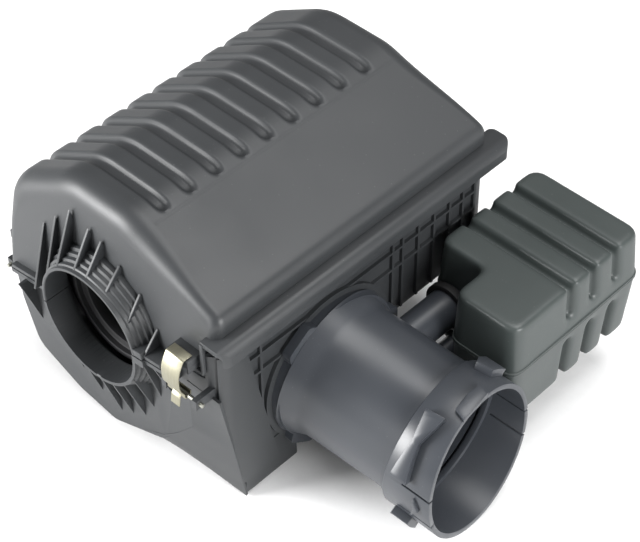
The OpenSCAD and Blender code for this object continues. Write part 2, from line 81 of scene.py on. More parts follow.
# The parting plane rises to the right, and the cover's hinge axis lies in it
HINGE = frame_joint("cover_hinge")
PARTING_SLOPE = HINGE["axis"][2] / HINGE["axis"][0]
PARTING_ANGLE = math.atan(PARTING_SLOPE)
PARTING_GAP = 0.3 * MM

# Places taken from the frame's own boxes and mounts
RES_LOW, RES_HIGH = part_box("resonator_upper")
RES_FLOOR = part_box("resonator_lower")[0].z
OUTLET_BORE = frame["record"]["mounts"][0]["dims"]["r_mm"]
OUTLET_R = OUTLET_BORE * MM

# The cover's front and back walls, at the height of the outlet's axis
FRONT_Y = 14 * MM
BACK_Y = 282 * MM

# Slots of the record that several pieces share
SHELLS = "charcoal_polypropylene"
DUCTS = "gloss_black_duct"
RESONATOR = "resonator_polypropylene"

# Distances below which points are merged, in a copied mesh and in a turned one
MERGE_COPIED = 0.01 * MM
MERGE_TURNED = 0.001 * MM
# Faces of a copied mesh that meet at less than this angle, in degrees, become one
FLAT_ANGLE = 1.5


# ---- Tools for modelling ----


def only(obj):
    """Makes obj the only selected object, and the active one."""
    if bpy.context.object and bpy.context.object.mode != "OBJECT":
        bpy.ops.object.mode_set(mode="OBJECT")
    bpy.ops.object.select_all(action="DESELECT")
    obj.select_set(True)
    bpy.context.view_layer.objects.active = obj


def edit_all(obj):
    """Opens obj in edit mode with all of it selected."""
    only(obj)
    bpy.ops.object.mode_set(mode="EDIT")
    bpy.ops.mesh.select_all(action="SELECT")


def apply_modifier(obj, kind, **settings):
    """Adds a modifier with its settings and applies it."""
    only(obj)
    modifier = obj.modifiers.new(kind.title(), kind)
    for key, value in settings.items():
        setattr(modifier, key, value)
    bpy.ops.object.modifier_apply(modifier=modifier.name)


def smooth(obj, angle=35):
    """Shades obj smooth, with edges sharper than angle kept crisp."""
    only(obj)
    bpy.ops.object.shade_smooth_by_angle(angle=math.radians(angle))


def soften(obj, radius, angle=35):
    """Gives edges sharper than angle a moulding radius."""
    apply_modifier(
        obj,
        "BEVEL",
        width=radius,
        segments=2,
        limit_method="ANGLE",
        angle_limit=math.radians(angle),
        use_clamp_overlap=True,
    )
    smooth(obj)


def face_out(obj):
    """Turns the faces of a mesh outwards."""
    edit_all(obj)
    bpy.ops.mesh.normals_make_consistent(inside=False)
    bpy.ops.object.mode_set(mode="OBJECT")


def copy_of(obj, name):
    """A copy of obj with a mesh of its own."""
    copy = bpy.data.objects.new(name, obj.data.copy())
    bpy.context.collection.objects.link(copy)
    return copy


def from_cad(node, name, radius):
    """A merged copy of a CAD node, its sharp edges given a moulding radius if there is one."""
    obj = copy_of(frame["nodes"][node], name)
    edit_all(obj)
    bpy.ops.mesh.customdata_custom_splitnormals_clear()
    bpy.ops.mesh.remove_doubles(threshold=MERGE_COPIED)
    if radius:
        bpy.ops.mesh.dissolve_limited(angle_limit=math.radians(FLAT_ANGLE))
    bpy.ops.object.mode_set(mode="OBJECT")
    if radius:
        soften(obj, radius)
    smooth(obj)
    return obj


def in_mm(rows):
    """Rows of numbers turned from millimetres into metres."""
    return [tuple(value * MM for value in row) for row in rows]


def prism(name, outline, depth):
    """A closed solid: the points of a disc are moved to the outline, and extruded by depth."""
    bpy.ops.object.select_all(action="DESELECT")
    bpy.ops.mesh.primitive_circle_add(vertices=len(outline), fill_type="NGON", radius=1)
    obj = bpy.context.object
    obj.name = name
    for vertex, point in zip(obj.data.vertices, outline):
        vertex.co = point
    edit_all(obj)
    bpy.ops.mesh.extrude_region_move(TRANSFORM_OT_translate={"value": depth})
    bpy.ops.mesh.select_all(action="SELECT")
    bpy.ops.mesh.normals_make_consistent(inside=False)
    bpy.ops.object.mode_set(mode="OBJECT")
    return obj


def facing(axis):
    """The turn that takes the z axis to another axis."""
    return Vector((0, 0, 1)).rotation_difference(Vector(axis)).to_matrix().to_4x4()


def turned(name, section, centre, axis, start=0.0, sweep=360.0, steps=96):
    """Spins a (radius, height) section about an axis, closed at its ends if it stops short."""
    whole = abs(sweep - 360) < 0.01
    bpy.ops.object.select_all(action="DESELECT")
    fill = "NOTHING" if whole else "NGON"
    bpy.ops.mesh.primitive_circle_add(vertices=len(section), fill_type=fill, radius=1)
    obj = bpy.context.object
    obj.name = name
    for vertex, (radius, height) in zip(obj.data.vertices, section):
        vertex.co = (radius, 0, height)
    edit_all(obj)
    # A positive angle spins clockwise about the axis
    bpy.ops.mesh.spin(
        steps=steps,
        angle=-math.radians(sweep),
        center=(0, 0, 0),
        axis=(0, 0, 1),
        use_auto_merge=False,
    )
    bpy.ops.mesh.select_all(action="SELECT")
    bpy.ops.mesh.remove_doubles(threshold=MERGE_TURNED)
    bpy.ops.mesh.normals_make_consistent(inside=False)
    bpy.ops.object.mode_set(mode="OBJECT")
    turn = Matrix.Rotation(math.radians(start), 4, "Z")
    obj.data.transform(Matrix.Translation(centre) @ facing(axis) @ turn)
    return obj


def cut(obj, tool, operation="DIFFERENCE"):
    """Cuts obj by a closed tool, then removes the tool."""
    apply_modifier(obj, "BOOLEAN", object=tool, operation=operation, solver="EXACT")
    bpy.data.objects.remove(tool)


def join(name, objects):
    """Joins several closed solids into one piece."""
    bpy.ops.object.select_all(action="DESELECT")
    for obj in objects:
        obj.select_set(True)
    bpy.context.view_layer.objects.active = objects[0]
    if len(objects) > 1:
        bpy.ops.object.join()
    objects[0].name = name
    return objects[0]


def parting_z(x):
    """Height of the parting plane at x."""
    return x * PARTING_SLOPE


def ease(value):
    """Smooth step from 0 to 1."""
    value = min(max(value, 0.0), 1.0)
    return value * value * (3 - 2 * value)


def rounded_path(corners, step):
    """Points about a step apart along an open line of (x, z, radius) corners."""
    line = []
    for i, (x, z, radius) in enumerate(corners):
        here = Vector((x, z))
        if radius == 0:
            line.append(here)
            continue
        before = (Vector(corners[i - 1][:2]) - here).normalized()
        after = (Vector(corners[(i + 1) % len(corners)][:2]) - here).normalized()
        half = before.angle(after) / 2
        centre = here + (before + after).normalized() * radius / math.sin(half)
        first = here + before * radius / math.tan(half) - centre
        last = here + after * radius / math.tan(half) - centre
        turn = math.atan2(first.x * last.y - first.y * last.x, first.dot(last))
        count = max(4, math.ceil(abs(turn) * radius / step))
        for k in range(count + 1):
            line.append(centre + Matrix.Rotation(turn * k / count, 2) @ first)
    points = [line[0]]
    for start, end in zip(line, line[1:]):
        count = max(1, math.ceil((end - start).length / step))
        points += [start.lerp(end, k / count) for k in range(1, count + 1)]
    return points


def normals_of(path):
    """The unit normal at each point of a line."""
    normals = []
    for i in range(len(path)):
        along = path[min(i + 1, len(path) - 1)] - path[max(i - 1, 0)]
        normals.append(Vector((-along.y, along.x)).normalized())
    return normals


# ---- Materials ----

# Colour of the dust specks on plastic
DUST = "#9c9e9a"
# Scale of the noise on rolled steel: drawn out along x
ROLLING = (900.0, 60.0, 60.0)


def linear(hex_colour):
    """A hex sRGB colour as linear RGBA."""
    channels = [int(hex_colour[i : i + 2], 16) / 255 for i in (1, 3, 5)]
    return [c / 12.92 if c <= 0.04045 else ((c + 0.055) / 1.055) ** 2.4 for c in channels] + [1]


def add_node(tree, kind, settings=None, inputs=None):
    """Adds a node with its settings, its sockets' values and its links."""
    node = tree.nodes.new(kind)
    for key, value in (settings or {}).items():
        setattr(node, key, value)
    for key, value in (inputs or {}).items():
        if isinstance(value, bpy.types.NodeSocket):
            tree.links.new(value, node.inputs[key])
        else:
            node.inputs[key].default_value = value
    return node


def new_material(name):
    """An empty node material, with its tree and its Object coordinates."""
    material = bpy.data.materials.new(name)
    material.use_nodes = True
    material.node_tree.nodes.clear()
    place = add_node(material.node_tree, "ShaderNodeTexCoord").outputs["Object"]
    return material, material.node_tree, place


def close_material(tree, base, roughness, normal, **fixed):
    """The shader and the output of a material."""
    inputs = {"Base Color": base, "Roughness": roughness, "Normal": normal}
    inputs.update({key.replace("_", " "): value for key, value in fixed.items()})
    shader = add_node(tree, "ShaderNodeBsdfPrincipled", inputs=inputs)
    add_node(tree, "ShaderNodeOutputMaterial", inputs={"Surface": shader.outputs[0]})


def noise(tree, place, scale, detail, **more):
    """The factor of a noise texture."""
    inputs = {"Vector": place, "Scale": scale, "Detail": detail, **more}
    return add_node(tree, "ShaderNodeTexNoise", inputs=inputs).outputs["Fac"]


def mix(tree, share, dark, light):
    """A colour between two ends, each a hex colour or a colour socket."""
    ends = [linear(end) if isinstance(end, str) else end for end in (dark, light)]
    inputs = {0: share, 6: ends[0], 7: ends[1]}
    return add_node(tree, "ShaderNodeMix", {"data_type": "RGBA"}, inputs).outputs[2]


def spread(tree, value, start, end, low, high):
    """A value mapped from one range onto another."""
    inputs = {0: value, 1: start, 2: end, 3: low, 4: high}
    return add_node(tree, "ShaderNodeMapRange", inputs=inputs).outputs[0]


def relief(tree, height, strength, distance):
    """A normal bumped by a height."""
    inputs = {"Height": height, "Strength": strength, "Distance": distance}
    return add_node(tree, "ShaderNodeBump", inputs=inputs).outputs[0]


def moulded_plastic(name, dark, light, rough, grain, grain_depth, speck):
    """Injection-moulded plastic: flow clouds, etched grain and a few bright dust specks."""
    material, tree, place = new_material(name)
    clouds = noise(tree, place, 14.0, 4.0)
    tone = mix(tree, clouds, dark, light)
    dust = add_node(tree, "ShaderNodeTexVoronoi", inputs={"Vector": place, "Scale": 160.0})
    dot = spread(tree, dust.outputs["Distance"], 0.0, 0.09, speck, 0.0)
    base = mix(tree, dot, tone, DUST)
    fine = noise(tree, place, 1 / grain, 3.0, Roughness=0.6)
    wear = spread(tree, clouds, 0.3, 0.7, rough - 0.05, rough + 0.06)
    close_material(tree, base, wear, relief(tree, fine, 0.35, grain_depth), IOR=1.49)
    return material


def charcoal_polypropylene():
    """Polypropylene moulded in an etched tool: a dull, even charcoal with broad soft highlights."""
    return moulded_plastic(
        "charcoal_polypropylene_moulded", "#292b2d", "#323436", 0.47, 1.6 * MM, 0.10 * MM, 0.15
    )


def smooth_polypropylene():
    """Polypropylene moulded in a polished tool: clearer highlights than the shells have."""
    return moulded_plastic(
        "black_polypropylene_polished", "#313439", "#3a3d42", 0.34, 2.2 * MM, 0.05 * MM, 0.12
    )


def blown_polypropylene():
    """Blow-moulded polypropylene: slightly green, with a faintly rippled skin."""
    return moulded_plastic(
        "grey_polypropylene_blow_moulded", "#353b3a", "#3f4544", 0.40, 3.0 * MM, 0.12 * MM, 0.15
    )


def moulded_rubber():
    """EPDM rubber from a matt tool: nearly black, and dull all over."""
    return moulded_plastic(
        "epdm_rubber_moulded", "#121213", "#1b1b1c", 0.75, 0.9 * MM, 0.06 * MM, 0.1
    )


def cast_polyurethane_painted_shade():
    """Polyurethane foamed in an open mould, with a fine skin of closed cells: dark of its own, and darkened
    further to near black as painted shade, so the inside of the outlet where the front cap sits reads deep and
    shadowed.
    """
    return moulded_plastic(
        "polyurethane_foamed_painted_shade", "#060608", "#0c0c10", 0.5, 1.1 * MM, 0.08 * MM, 0.05
    )


def plated_steel(name, hex_colour, rough, streak):
    """Rolled and zinc plated steel: a warm grey metal with faint rolling streaks along one way."""
    material, tree, place = new_material(name)
    stretch = add_node(tree, "ShaderNodeMapping", inputs={"Vector": place, "Scale": ROLLING})
    lines = noise(tree, stretch.outputs[0], 1.0, 3.0)
    sheen = spread(tree, lines, 0.3, 0.7, rough, rough + 0.12)
    tone = mix(tree, lines, hex_colour, streak)
    close_material(tree, tone, sheen, relief(tree, lines, 0.2, 0.02 * MM), Metallic=1.0)
    return material


def fibre_sheet(name, dark, light, pitch):
    """Fibrous sheet, such as resin-treated paper or a woven band: matt, with crossing fibres."""
    material, tree, place = new_material(name)
    fibres = noise(tree, place, 1 / pitch, 6.0, Distortion=1.5)
    tone = mix(tree, fibres, dark, light)
    rough = spread(tree, fibres, 0.3, 0.7, 0.8, 0.95)
    close_material(tree, tone, rough, relief(tree, fibres, 0.4, 0.08 * MM))
    return material


def studio_floor():
    """Matt white paper sweep, so faintly mottled that it reads as plain."""
    return fibre_sheet("studio_paper_matt", "#f4f4f4", "#fafafa", 8 * MM)


MAKERS = {
    SHELLS: charcoal_polypropylene,
    DUCTS: smooth_polypropylene,
    RESONATOR: blown_polypropylene,
    "black_rubber": moulded_rubber,
    "polyurethane_cap": cast_polyurethane_painted_shade,
    "zinc_spring_steel": lambda: plated_steel(
        "spring_steel_zinc_plated", "#9a9786", 0.38, "#8c8977"
    ),
    "zinc_steel": lambda: plated_steel("steel_zinc_plated", "#a9a9a0", 0.36, "#96968c"),
    "core_steel": lambda: plated_steel("steel_galvanised", "#a5a8a4", 0.40, "#8d908c"),
    "filter_paper": lambda: fibre_sheet(
        "filter_paper_resin_treated", "#c6b27c", "#e0d0a0", 1.2 * MM
    ),
    "glue_band": lambda: fibre_sheet("woven_band_glued", "#a8a294", "#c9c4b6", 0.9 * MM),
}
materials = {}


def finish_of(slot):
    """The material of one of the record's slots, made once."""
    if slot not in materials:
        materials[slot] = MAKERS[slot]()
    return materials[slot]


def finish_piece(obj, body, slot, *nodes):
    """Gives a piece the finish of its slot and its body, and hides the CAD nodes it stands for."""
    obj.data.materials.clear()
    obj.data.materials.append(finish_of(slot))
    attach(obj, body)
    if nodes:
        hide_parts(*nodes)


# ---- Sizes that a user would change ----


class HousingCoverSizes(bpy.types.PropertyGroup):
    """Sizes of the cover's roof."""

    groove_count: IntProperty(
        name="Grooves", description="Number of roof grooves", default=9, min=1, max=9
    )
    groove_pitch: FloatProperty(
        name="Groove pitch",
        description="Distance between grooves",
        default=23.4 * MM,
        unit="LENGTH",
    )
    groove_width: FloatProperty(
        name="Groove width",
        description="Width of a groove at the roof",
        default=12.5 * MM,
        unit="LENGTH",
    )
    groove_depth: FloatProperty(
        name="Groove depth", description="Depth of a groove", default=3.6 * MM, unit="LENGTH"
    )
    edge_radius: FloatProperty(
        name="Edge radius",
        description="Radius of the roof's edges",
        default=15 * MM,
        unit="LENGTH",
    )


class HousingStageLook(bpy.types.PropertyGroup):
    """Light and camera."""

    lens: FloatProperty(
        name="Lens", description="Focal length on a 36 mm sensor", default=111.4, unit="NONE"
    )
    ambient: FloatProperty(
        name="Ambient", description="Strength of the even light", default=0.36
    )
    backdrop: StringProperty(
        name="Backdrop", description="Colour of the surroundings", default="#ffffff"
    )


# ---- Cover ----

# Where the roof grooves end on the right, and how far forward of the middle they are centred
GROOVE_END = 25 * MM
GROOVE_SHIFT = 4 * MM
# Share of a groove's half width that has its full depth
GROOVE_FLAT = 0.35
# Height at which the grooves begin on the left wall, and the rise to their full depth
GROOVE_FOOT, GROOVE_RISE = 38 * MM, 26 * MM
# The line pressed into the roof beyond the grooves
SEAM_X, SEAM_HALF, SEAM_DEPTH = 34 * MM, 1.2 * MM, 0.25 * MM
SEAM_FRONT, SEAM_BACK = FRONT_Y + 24 * MM, BACK_Y - 14 * MM
# The roof is the part of the outline above this height
ROOF_Z = 60 * MM
# Outline of the cover across the housing, from the left wall over the ridge to the right rim
COVER_CORNERS = [
    (-99.0, -13.7, 0),
    (-95.5, 62, 28),
    (-36, 97, 50),
    (20, 97, 50),
    (107.2, 65, 9),
    (105.6, 47.5, 0),
]
# Right edge of the end walls below the rim
END_WALL_EDGE = [(96.8, 46.5), (96.8, 13.9)]
# How the end walls lean in as they rise
END_LEAN = 0.075
# Radius of the end walls' edges at the parting line
FOOT_RADIUS = 7 * MM
COVER_WALL = 2.4 * MM
# Spacing of the points along the outline, and the rows of points round an edge and over the roof
OUTLINE_STEP = 2.6 * MM
EDGE_ROWS, ROOF_ROWS = 7, 190


def groove_depth_at(x, y, z, sizes):
    """How deep the roof is pressed in at a point."""
    middle = (FRONT_Y + BACK_Y) / 2 - GROOVE_SHIFT
    first = middle - sizes.groove_pitch * (sizes.groove_count - 1) / 2
    nearest = min(max(round((y - first) / sizes.groove_pitch), 0), sizes.groove_count - 1)
    across = y - first - nearest * sizes.groove_pitch
    along = max(0.0, x - GROOVE_END)
    reach = math.hypot(across, along) / (sizes.groove_width / 2)
    valley = 1 - ease((reach - GROOVE_FLAT) / (1 - GROOVE_FLAT))
    fade = ease((z - GROOVE_FOOT) / GROOVE_RISE)
    seam = 0.0
    if z > ROOF_Z and SEAM_FRONT < y < SEAM_BACK:
        seam = SEAM_DEPTH * max(0.0, 1 - abs(x - SEAM_X) / SEAM_HALF)
    return sizes.groove_depth * valley * fade + seam


def end_radius(point, sizes):
    """Radius of an end wall's edge: it grows towards the roof, and halves towards the right."""
    rise = ease((point.y - 10 * MM) / (60 * MM))
    narrowing = 1 - 0.5 * ease((point.x - 30 * MM) / (70 * MM))
    return (FOOT_RADIUS + (sizes.edge_radius - FOOT_RADIUS) * rise) * narrowing


def cover_shell(sizes):
    """The grooved dome: a grid drawn over the outline, closed at its ends, then given a wall."""
    path = rounded_path(in_mm(COVER_CORNERS), OUTLINE_STEP)
    seam = [Vector((SEAM_X + d, 0)) for d in (-SEAM_HALF, 0, SEAM_HALF)]
    roof = [p for p in path if p.y > ROOF_Z]
    for extra in seam:
        left = max((p for p in roof if p.x <= extra.x), key=lambda p: p.x)
        right = min((p for p in roof if p.x > extra.x), key=lambda p: p.x)
        extra.y = left.y + (right.y - left.y) * (extra.x - left.x) / (right.x - left.x)
        path.insert(path.index(left) + 1, extra)
        roof.insert(roof.index(left) + 1, extra)
    normals = normals_of(path)
    rows = [("front", k / EDGE_ROWS) for k in range(EDGE_ROWS)]
    rows += [("middle", k / ROOF_ROWS) for k in range(ROOF_ROWS + 1)]
    rows += [("back", 1 - k / EDGE_ROWS) for k in range(1, EDGE_ROWS + 1)]
    bpy.ops.object.select_all(action="DESELECT")
    bpy.ops.mesh.primitive_grid_add(
        x_subdivisions=len(path) - 1, y_subdivisions=len(rows) - 1, size=1
    )
    obj = bpy.context.object
    vertices = obj.data.vertices
    for j, (part, share) in enumerate(rows):
        for i, (point, normal) in enumerate(zip(path, normals)):
            radius = end_radius(point, sizes)
            front = FRONT_Y + END_LEAN * point.y
            back = BACK_Y - END_LEAN * point.y
            bend = math.pi / 2 * share if part != "middle" else math.pi / 2
            inset = radius * (1 - math.sin(bend))
            depth = radius * (1 - math.cos(bend))
            if part == "front":
                y = front + depth
            elif part == "back":
                y = back - depth
            else:
                y = front + radius + (back - front - 2 * radius) * share
            sunk = groove_depth_at(point.x, y, point.y, sizes) if part == "middle" else 0.0
            place = point - normal * (inset + sunk)
            floor = parting_z(place.x) + PARTING_GAP
            vertices[j * len(path) + i].co = (place.x, y, max(place.y, floor))
    close_cover_ends(obj, len(path), len(rows))
    face_out(obj)
    apply_modifier(obj, "SOLIDIFY", thickness=COVER_WALL, offset=-1, use_quality_normals=False)
    smooth(obj, 40)
    return obj


def close_cover_ends(obj, across, rows):
    """Fills the end walls, the front one round the upper half of the outlet."""
    half_turn = 40
    mesh = obj.data
    edge = len(mesh.vertices)
    mesh.vertices.add(2 * len(END_WALL_EDGE))
    edges = []
    for y_at in (lambda z: FRONT_Y + END_LEAN * z, lambda z: BACK_Y - END_LEAN * z):
        for x, z in END_WALL_EDGE:
            mesh.vertices[edge + len(edges)].co = (x * MM, y_at(z * MM), z * MM)
            edges.append(edge + len(edges))
    first = len(mesh.vertices)
    mesh.vertices.add(half_turn + 1)
    for k in range(half_turn + 1):
        bend = PARTING_ANGLE + math.pi * k / half_turn
        x, z = OUTLET_R * math.cos(bend), OUTLET_R * math.sin(bend) + PARTING_GAP
        mesh.vertices[first + k].co = (x, FRONT_Y + END_LEAN * z, z)
    front = list(range(across)) + edges[:2] + list(range(first, first + half_turn + 1))
    back = list(range((rows - 1) * across, rows * across)) + edges[2:]
    for ring in (front, back):
        corners = [loop.vertex_index for loop in mesh.loops] + ring
        mesh.loops.add(len(ring))
        mesh.polygons.add(1)
        mesh.polygons[-1].loop_start = len(corners) - len(ring)
        mesh.loops.foreach_set("vertex_index", corners)
        mesh.update(calc_edges=True)
        mesh.validate()


# The right rim, in millimetres: its section (x, z, radius) is a rounded ledge with a skirt, and
# its plan (x, y, radius) rounds its ends
RIM_SECTION = [
    (91, 45, 0),
    (91, 50, 0),
    (118.3, 50, 6.5),
    (118.3, 36, 1),
    (115.2, 36, 1),
    (115.2, 46, 3.5),
    (91, 46, 0),
]
RIM_ENDS = (12.1, 290.8)
RIM_PLAN = [
    (80, 21, 0),
    (97.4, 21, 0),
    (97.4, 11.1, 0),
    (107, 11.1, 0),
    (118.4, 12.1, 11),
    (118.4, 290.8, 9),
    (98, 290.8, 5),
    (98, 262, 0),
    (80, 262, 0),
]
RIM_STEP = 1.5 * MM
# The leg under the rim, in plan, and the hook at its front end, seen from the front
LEG_PLAN = [(91.4, 17.4), (96.2, 17.4), (96.2, 273), (91.4, 273)]
RIM_HOOK = [(97.2, 22), (97.2, 48), (99.6, 48), (99.6, 19.6), (90.5, 19.6), (90.5, 22)]


def cover_rim():
    """The right rim, drawn out along the housing and cut to its plan, with its leg and its hook."""
    section = rounded_path(in_mm(RIM_SECTION), RIM_STEP)[1:]
    low, high = (end * MM for end in RIM_ENDS)
    rim = prism("rim", [(p.x, low, p.y) for p in section], (0, high - low, 0))
    plan = rounded_path(in_mm(RIM_PLAN), RIM_STEP)
    cut(rim, prism("plan", [(p.x, p.y, 0) for p in plan], (0, 0, 80 * MM)), "INTERSECT")
    leg = prism("leg", in_mm([(x, y, 6) for x, y in LEG_PLAN]), (0, 0, 41 * MM))
    hook = prism("rim end", in_mm([(x, 11.4, z) for x, z in RIM_HOOK]), (0, 2.9 * MM, 0))
    for piece in (leg, hook):
        soften(piece, 0.5 * MM)
    soften(rim, 0.6 * MM)
    return [rim, leg, hook]


# The upper fins, in millimetres: the x of each and the height of its tip
UPPER_TIPS = [
    (-57, 47),
    (-44, 61),
    (-29, 76),
    (-11, 71),
    (1, 68),
    (18, 58),
    (37, 46),
    (53, 26),
]
FIN_WIDTH = 2 * MM
# Radius on the collar at which the fins begin
FIN_ROOT = 45 * MM


def fin(x, tip):
    """One gusset fin from the collar to its tip on the face."""
    if abs(x) < FIN_ROOT:
        root = math.sqrt(FIN_ROOT * FIN_ROOT - x * x)
    else:
        root = parting_z(x) + 3 * MM
    outline = [
        (2 * MM, root),
        (FRONT_Y + 0.06 * abs(tip), tip),
        (FRONT_Y + 6 * MM, 0.2 * root + 0.8 * tip),
        (FRONT_Y + 6 * MM, root),
    ]
    obj = prism("fin", [(x - FIN_WIDTH / 2, y, z) for y, z in outline], (FIN_WIDTH, 0, 0))
    soften(obj, 0.35 * MM)
    return obj


# Section of the outlet collar, with its stepped ridges: radius and distance from the lip, in mm
COLLAR_SECTION = [
    (OUTLET_BORE, 0.8),
    (OUTLET_BORE + 0.6, 0.1),
    (46, 0.2),
    (46, 3),
    (47.4, 3.6),
    (47.4, 6.6),
    (49.4, 7.2),
    (49.4, 10.2),
    (51.6, 10.8),
    (51.6, 13.6),
    (54, 14.2),
    (54, 20),
    (OUTLET_BORE, 20),
]
# Degrees left free at each end of a half
COLLAR_GAP = 0.35


def collar_half(name, start):
    """Half of the outlet collar, from start in degrees, with its stepped ridges outside."""
    section = in_mm(COLLAR_SECTION)
    sweep = 180 - 2 * COLLAR_GAP
    obj = turned(name, section, (0, 0, 0), (0, 1, 0), start + COLLAR_GAP, sweep, 72)
    soften(obj, 0.3 * MM, 30)
    return obj


def block(name, low, high, radius=0.4 * MM):
    """A small moulded block between two corners in millimetres, with rounded edges."""
    (x0, y0, z0), (x1, y1, z1) = low, high
    outline = in_mm([(x0, y0, z0), (x1, y0, z0), (x1, y1, z0), (x0, y1, z0)])
    obj = prism(name, outline, (0, 0, (z1 - z0) * MM))
    soften(obj, radius)
    return obj


def hinge_hook(x):
    """An open claw that snaps over a hinge bar, on an arm from the back wall."""
    centre = Vector((x, HINGE["pos_m"][1], 0))
    bore, outer, width = 3.1 * MM, 6.3 * MM, 16 * MM
    open_at, open_half, steps = -125, 55, 28
    sweep = 360 - 2 * open_half
    angles = [math.radians(open_at + open_half + k * sweep / steps) for k in range(steps + 1)]
    ring = [(outer * math.cos(a), outer * math.sin(a)) for a in angles]
    ring += [(bore * math.cos(a), bore * math.sin(a)) for a in reversed(angles)]
    claw = prism("claw", [(-width / 2, y, z) for y, z in ring], (width, 0, 0))
    arm = block("arm", (-8, -12, 1.5), (8, -4.5, 6.2))
    soften(claw, 0.3 * MM)
    tilt = Matrix.Rotation(-PARTING_ANGLE, 4, "Y")
    for piece in (claw, arm):
        piece.data.transform(tilt @ Matrix.Translation(centre))
    return [claw, arm]


def catches():
    """The ledges that the two clips hold down."""
    front, side = (frame_joint(name)["pos_m"] for name in ("front_clip_swing", "side_clip_swing"))
    fx, fy, fz = (v / MM for v in front)
    sx, sy, sz = (v / MM for v in side)
    return [
        block("front catch", (fx - 12.9, fy + 0.2, fz + 24.2), (fx + 6.6, fy + 18, fz + 31.5)),
        block("front post", (fx + 5, fy + 0.2, fz + 20.2), (fx + 6.6, fy + 18, fz + 25)),
        block("side catch", (sx + 0.2, sy - 12.9, sz + 24.2), (sx + 18, sy + 12.9, sz + 31.5)),
    ]


class HOUSING_OT_cover(bpy.types.Operator):
    """Build the grooved cover with its rim, collar half, fins and hooks"""

    bl_idname = "housing.cover"
    bl_label = "Cover"

    def execute(self, context):
        shell = cover_shell(context.scene.housing_cover)
        shell.name = "cover_shell"
        finish_piece(shell, "cover", SHELLS, "upper_cover")
        wings = [
            block("wing", (-91, 9.2, 0.3), (-44.5, 16, 3.4)),
            block("wing", (44.5, 2.2, 0.3), (69, 16, 3.4)),
            block("pad", (45, 0.3, 0.3), (53.5, 16, 5.9)),
        ]
        for wing in wings:
            wing.data.transform(Matrix.Rotation(-PARTING_ANGLE, 4, "Y"))
        collar = collar_half("collar", -180 - math.degrees(PARTING_ANGLE))
        groups = {
            "cover_rim": cover_rim(),
            "cover_collar": [collar] + wings,
            "cover_fins": [fin(x, tip) for x, tip in in_mm(UPPER_TIPS)],
            "cover_hooks": hinge_hook(-60 * MM) + hinge_hook(55 * MM),
            "cover_catches": catches(),
        }
        for name, pieces in groups.items():
            finish_piece(join(name, pieces), "cover", SHELLS)
        return {"FINISHED"}


# ---- Lower case ----

# Chains of points in millimetres: down the drum's right edge, and down the case's right corner
BLEND_DRUM = [
    (80.2, 13.8, -1),
    (80.2, 15.1, -26),
    (79.4, 16.3, -50),
    (62.6, 17.3, -71),
    (46.5, 18.1, -87),
    (22, 19, -101.5),
]
BLEND_CORNER = [
    (110, 14, -1),
    (110, 19.4, -30),
    (110, 24.6, -58),
    (109.6, 29.8, -86),
    (107.6, 35.6, -117),
    (28, 35.8, -117),
]
BLEND_WALL = 2 * MM


def front_blend():
    """The smooth wall that runs from the drum to the right corner and the foot."""
    columns, between = 12, 6
    rows = [
        (Vector(a0).lerp(Vector(a1), k / between), Vector(b0).lerp(Vector(b1), k / between))
        for a0, a1, b0, b1 in zip(BLEND_DRUM, BLEND_DRUM[1:], BLEND_CORNER, BLEND_CORNER[1:])
        for k in range(between)
    ]
    rows.append((Vector(BLEND_DRUM[-1]), Vector(BLEND_CORNER[-1])))
    bpy.ops.object.select_all(action="DESELECT")
    bpy.ops.mesh.primitive_grid_add(
        x_subdivisions=columns, y_subdivisions=len(rows) - 1, size=1
    )
    obj = bpy.context.object
    obj.name = "case_front_blend"
    for j, (drum, corner) in enumerate(rows):
        for i in range(columns + 1):
            obj.data.vertices[j * (columns + 1) + i].co = drum.lerp(corner, i / columns) * MM
    face_out(obj)
    if sum(polygon.normal.y for polygon in obj.data.polygons) > 0:
        edit_all(obj)
        bpy.ops.mesh.flip_normals()
        bpy.ops.object.mode_set(mode="OBJECT")
    apply_modifier(obj, "SOLIDIFY", thickness=BLEND_WALL, offset=-1)
    smooth(obj, 50)
    return obj


class HOUSING_OT_case(bpy.types.Operator):
    """Build the lower case with its fins, ribs, foot and ears"""

    bl_idname = "housing.case"
    bl_label = "Lower case"

    def execute(self, context):
        case = from_cad("lower_case", "case_shell", 0.5 * MM)
        finish_piece(case, "case", SHELLS, "lower_case")
        finish_piece(front_blend(), "case", SHELLS)
        collar = collar_half("case_collar", -math.degrees(PARTING_ANGLE))
        finish_piece(collar, "case", SHELLS)
        return {"FINISHED"}


# ---- Inlet duct ----

INLET = frame["record"]["mounts"][1]
INLET_PLACE = Vector(INLET["pos_m"])
INLET_AXIS = Vector(INLET["axis"]).normalized()
INLET_UP = (Vector((0, 0, 1)) - INLET_AXIS * INLET_AXIS.z).normalized()
INLET_SIDE = INLET_UP.cross(INLET_AXIS)
INLET_BORE = INLET["dims"]["r_mm"]
# The lip is cut off at this distance past the mount, on a slant in degrees
LIP_AT, LIP_SLANT = 18, 9.5
# Section of the cuff's sleeve, with its stop ring: radius and distance from the mount, in mm
CUFF_SECTION = [
    (50.2, -20),
    (54.4, -20),
    (54.8, -19.4),
    (56, 34),
    (INLET_BORE, 34),
    (INLET_BORE, -8),
    (47, -8),
    (47, -12),
    (50.2, -12),
]
# Slits, in degrees round the cuff from its top towards the front, and half their width
SLITS = (80, 106, 250, 272)
SLIT_HALF = 0.85
